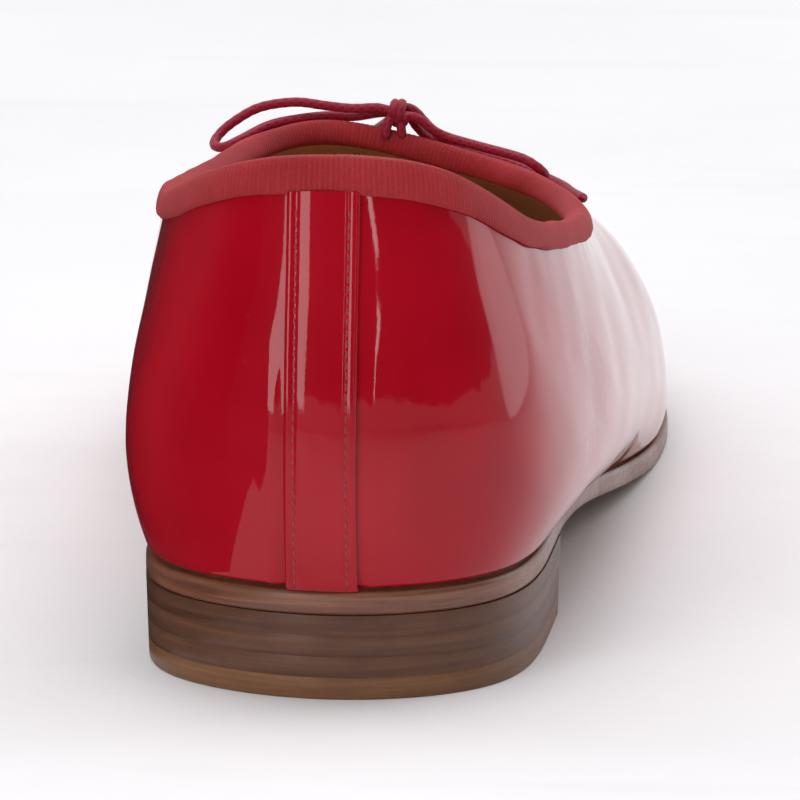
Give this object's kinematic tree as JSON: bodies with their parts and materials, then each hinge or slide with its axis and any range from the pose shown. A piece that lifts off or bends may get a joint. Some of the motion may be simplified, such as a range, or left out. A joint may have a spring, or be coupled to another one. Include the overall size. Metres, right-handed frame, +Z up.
{
  "type": "ballet flat",
  "caption": "Right-foot ballet flat: patent leather upper with a back strip, woven binding round the opening, thin cord bow on the throat, leather sole and low stacked heel.",
  "frame": {"origin": "on the floor under the middle of the heel", "axes": "+X to the outer side of the foot, +Y to the toe, +Z up; the floor is z = 0"},
  "size_m": [0.0801, 0.2535, 0.0769],
  "materials": {
    "sole_leather": "waxed brown edge",
    "top_piece": "matte amber brown",
    "stacked_leather": "stained brown, layered",
    "insole_leather": "soft tan",
    "patent_leather": "glossy red patent",
    "patent_strip": "glossy red patent, stitched edges",
    "woven_tape": "ribbed matte red tape",
    "cord": "thin dark red cord"
  },
  "bodies": {
    "root": {"outsole": "sole_leather", "heel_top_piece": "top_piece", "heel_lift_1": "stacked_leather", "heel_lift_2": "stacked_leather", "heel_lift_3": "stacked_leather", "insole": "insole_leather", "upper": "patent_leather", "back_strip": "patent_strip", "topline_binding": "woven_tape", "bow_knot": "cord", "bow_loop_outer": "cord", "bow_loop_inner": "cord", "bow_tail_outer": "cord", "bow_tail_inner": "cord"}
  },
  "joints": []
}
